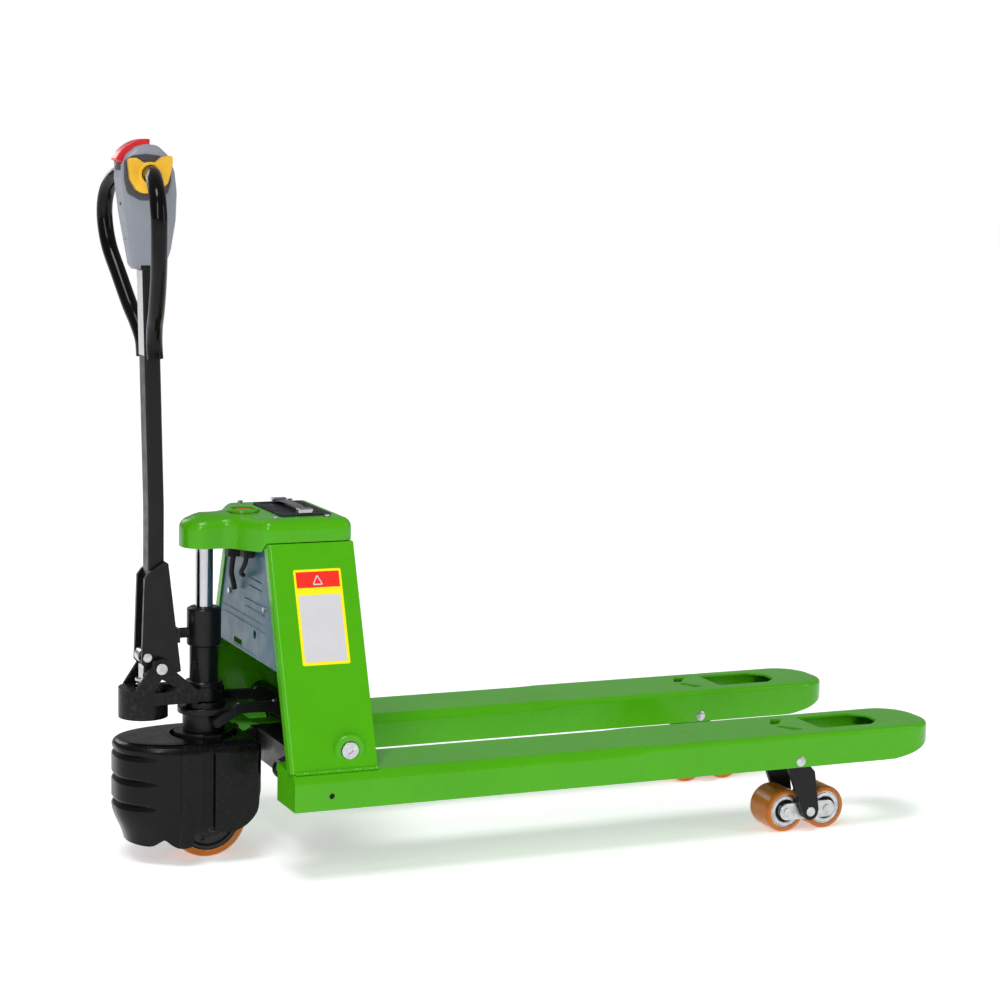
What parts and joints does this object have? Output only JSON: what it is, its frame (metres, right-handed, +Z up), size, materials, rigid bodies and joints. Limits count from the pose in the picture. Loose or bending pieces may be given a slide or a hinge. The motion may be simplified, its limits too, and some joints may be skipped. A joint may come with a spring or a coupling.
{
  "type": "electric pallet truck",
  "caption": "Compact electric pallet truck with two raised forks, steered drive wheel, tiller with handle loops and sloped battery tower.",
  "frame": {"origin": "on the floor, under the middle of the truck's bounding box", "axes": "+X to the fork tips, +Y to the operator's left, +Z up"},
  "size_m": [1.514, 0.553, 1.249],
  "materials": {
    "green_paint": "gloss powder coat",
    "black_paint": "satin black",
    "black_casting": "painted casting",
    "panel_paint": "semi-gloss pressed sheet",
    "zinc_steel": "zinc plated",
    "rod_steel": "drawn bar",
    "chrome": "hard chrome",
    "black_plastic": "moulded",
    "matte_black": "textured",
    "grip_black": "coated tube",
    "polyurethane": "cast polyurethane",
    "hub_black": "painted",
    "head_grey": "fine texture",
    "head_dark": "fine texture",
    "yellow_plastic": "moulded",
    "red_plastic": "moulded",
    "strap": "woven webbing",
    "label": "printed film",
    "rubber": "moulded"
  },
  "bodies": {
    "chassis": {"fork_right": "green_paint", "fork_left": "green_paint", "nose_plates": "green_paint", "side_plates": "green_paint", "rear_plate": "green_paint", "cross_member": "black_paint", "head_plate": "green_paint", "ram_rod": "chrome", "top_cover": "green_paint", "front_panel": "panel_paint", "controller": "matte_black", "battery_tray": "black_paint", "rocker_shaft": "zinc_steel", "leg_pins": "zinc_steel", "side_labels": "label", "fasteners": "zinc_steel", "harness": "matte_black", "estop_ring": "green_paint"},
    "battery": {"battery_case": "matte_black", "battery_lid": "matte_black", "carry_strap": "strap", "strap_brackets": "chrome"},
    "estop": {"estop_button": "red_plastic"},
    "collar": {"thrust_collar": "black_paint"},
    "rocker": {"rocker_arm": "black_paint"},
    "push_rods": {"push_rods": "rod_steel"},
    "legs": {"legs": "black_paint"},
    "bogies": {"link_plates": "zinc_steel", "roller_axles": "zinc_steel"},
    "roller_front_right": {"tyre_front_right": "polyurethane", "hub_front_right": "zinc_steel"},
    "roller_rear_right": {"tyre_rear_right": "polyurethane", "hub_rear_right": "zinc_steel"},
    "roller_front_left": {"tyre_front_left": "polyurethane", "hub_front_left": "zinc_steel"},
    "roller_rear_left": {"tyre_rear_left": "polyurethane", "hub_rear_left": "zinc_steel"},
    "drive_unit": {"wheel_fork": "black_paint", "drive_axle": "zinc_steel", "cover_nose": "black_plastic", "cover_flanks": "black_plastic", "pump_casting": "black_casting", "cylinder": "black_paint", "gland_collar": "black_paint", "stop_buffer": "rubber", "tiller_pin": "zinc_steel", "plunger_spring": "zinc_steel"},
    "drive_wheel": {"drive_tyre": "polyurethane", "drive_hub": "hub_black"},
    "plunger": {"plunger": "zinc_steel"},
    "tiller": {"tiller_bracket": "black_paint", "tiller_tube": "black_paint", "pump_roller": "zinc_steel", "handle_loops": "grip_black", "control_head": "head_grey", "head_inlays": "head_dark"},
    "throttle": {"throttle": "yellow_plastic"},
    "belly_button": {"belly_button": "red_plastic"}
  },
  "joints": [
    {"name": "lift", "type": "slide", "parent": "chassis", "child": "collar", "axis": [0, 0, 1], "range_m": [0, 0.11]},
    {"name": "steer", "type": "hinge", "parent": "collar", "child": "drive_unit", "pos_m": [-0.595, 0, 0.25], "axis": [0, 0, 1], "range_deg": [-90, 90]},
    {"name": "drive_spin", "type": "hinge", "parent": "drive_unit", "child": "drive_wheel", "pos_m": [-0.595, 0, 0.07], "axis": [0, 1, 0], "continuous": true},
    {"name": "tiller_tilt", "type": "hinge", "parent": "drive_unit", "child": "tiller", "pos_m": [-0.683, 0, 0.345], "axis": [0, -1, 0], "range_deg": [0, 85], "stiffness_Nm_per_rad": 22, "springref_deg": -20.05},
    {"name": "plunger_stroke", "type": "slide", "parent": "drive_unit", "child": "plunger", "axis": [0, 0, -1], "range_m": [0, 0.038], "deforming": ["plunger_spring"]},
    {"name": "throttle_turn", "type": "hinge", "parent": "tiller", "child": "throttle", "pos_m": [-0.705, 0, 1.19], "axis": [0, 1, 0], "range_deg": [-20, 20], "stiffness_Nm_per_rad": 1.5},
    {"name": "belly_press", "type": "slide", "parent": "tiller", "child": "belly_button", "axis": [0.6, 0, -0.8], "range_m": [0, 0.004], "stiffness_N_per_m": 800, "springref_m": -0.002},
    {"name": "rocker_swing", "type": "hinge", "parent": "chassis", "child": "rocker", "pos_m": [-0.413, 0, 0.229], "axis": [0, 1, 0], "range_deg": [0, 37.5]},
    {"name": "rod_travel", "type": "slide", "parent": "chassis", "child": "push_rods", "axis": [1, 0, 0], "range_m": [-0.0362, 0]},
    {"name": "leg_swing", "type": "hinge", "parent": "chassis", "child": "legs", "pos_m": [0.458, 0, 0.145], "axis": [0, 1, 0], "range_deg": [-71.5, 0]},
    {"name": "bogie_tilt", "type": "hinge", "parent": "legs", "child": "bogies", "pos_m": [0.499, 0, 0.04], "axis": [0, 1, 0], "range_deg": [0, 71.5]},
    {"name": "roller_front_right_spin", "type": "hinge", "parent": "bogies", "child": "roller_front_right", "pos_m": [0.541, -0.195, 0.04], "axis": [0, 1, 0], "continuous": true},
    {"name": "roller_rear_right_spin", "type": "hinge", "parent": "bogies", "child": "roller_rear_right", "pos_m": [0.457, -0.195, 0.04], "axis": [0, 1, 0], "continuous": true},
    {"name": "roller_front_left_spin", "type": "hinge", "parent": "bogies", "child": "roller_front_left", "pos_m": [0.541, 0.195, 0.04], "axis": [0, 1, 0], "continuous": true},
    {"name": "roller_rear_left_spin", "type": "hinge", "parent": "bogies", "child": "roller_rear_left", "pos_m": [0.457, 0.195, 0.04], "axis": [0, 1, 0], "continuous": true},
    {"name": "battery_pull", "type": "slide", "parent": "chassis", "child": "battery", "axis": [0, 0, 1], "range_m": [0, 0.26]},
    {"name": "estop_push", "type": "slide", "parent": "chassis", "child": "estop", "axis": [0, 0, -1], "range_m": [0, 0.004]}
  ],
  "couplings": [
    {"joint": "plunger_stroke", "follows": "tiller_tilt", "m_per_rad": 0.02508},
    {"joint": "rocker_swing", "follows": "lift", "rad_per_m": 5.8707},
    {"joint": "rod_travel", "follows": "lift", "ratio": -0.32845},
    {"joint": "leg_swing", "follows": "lift", "rad_per_m": -11.292},
    {"joint": "bogie_tilt", "follows": "lift", "rad_per_m": 11.292}
  ]
}
